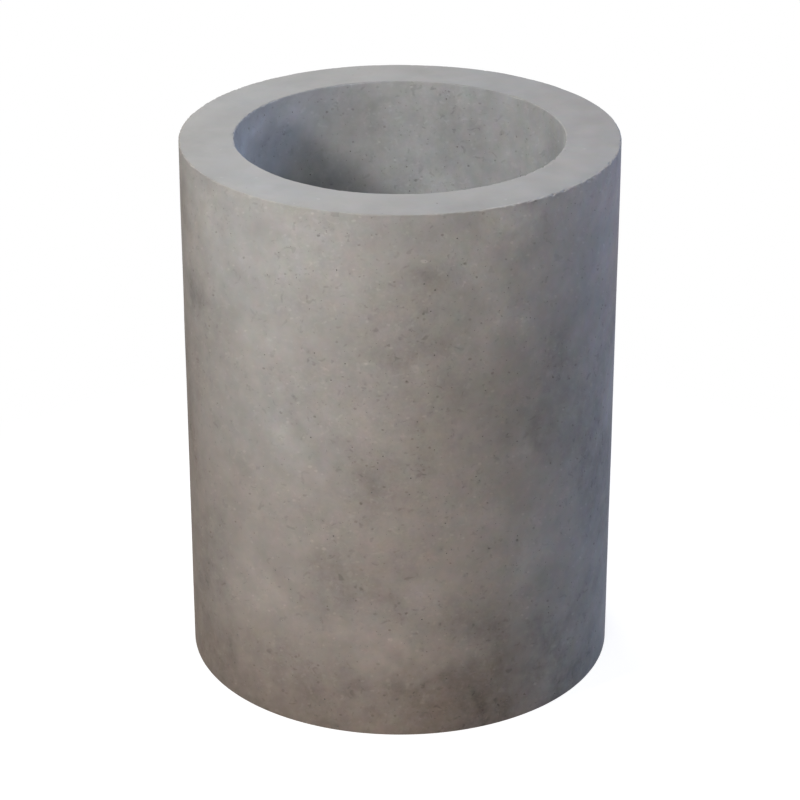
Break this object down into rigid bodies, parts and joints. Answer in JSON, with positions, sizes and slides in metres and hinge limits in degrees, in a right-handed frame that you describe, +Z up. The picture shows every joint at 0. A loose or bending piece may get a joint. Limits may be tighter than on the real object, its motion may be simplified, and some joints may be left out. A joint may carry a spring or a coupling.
{
  "type": "concrete sewer pipe",
  "caption": "Plain-ended precast concrete pipe: a straight, round, thick-walled tube with a bore right through it, standing on one flat end.",
  "frame": {"origin": "middle of the bore at the bottom end face", "axes": "+Z up the axis of the pipe, from the end that it stands on to the open top end; X and Y are any two directions across it, as the pipe is round"},
  "size_m": [0.8, 0.8, 1.02],
  "materials": {
    "concrete": "matt cast concrete with small air holes and faint stains, trowelled smooth on the end faces"
  },
  "bodies": {
    "root": {"concrete_pipe": "concrete"}
  },
  "joints": []
}
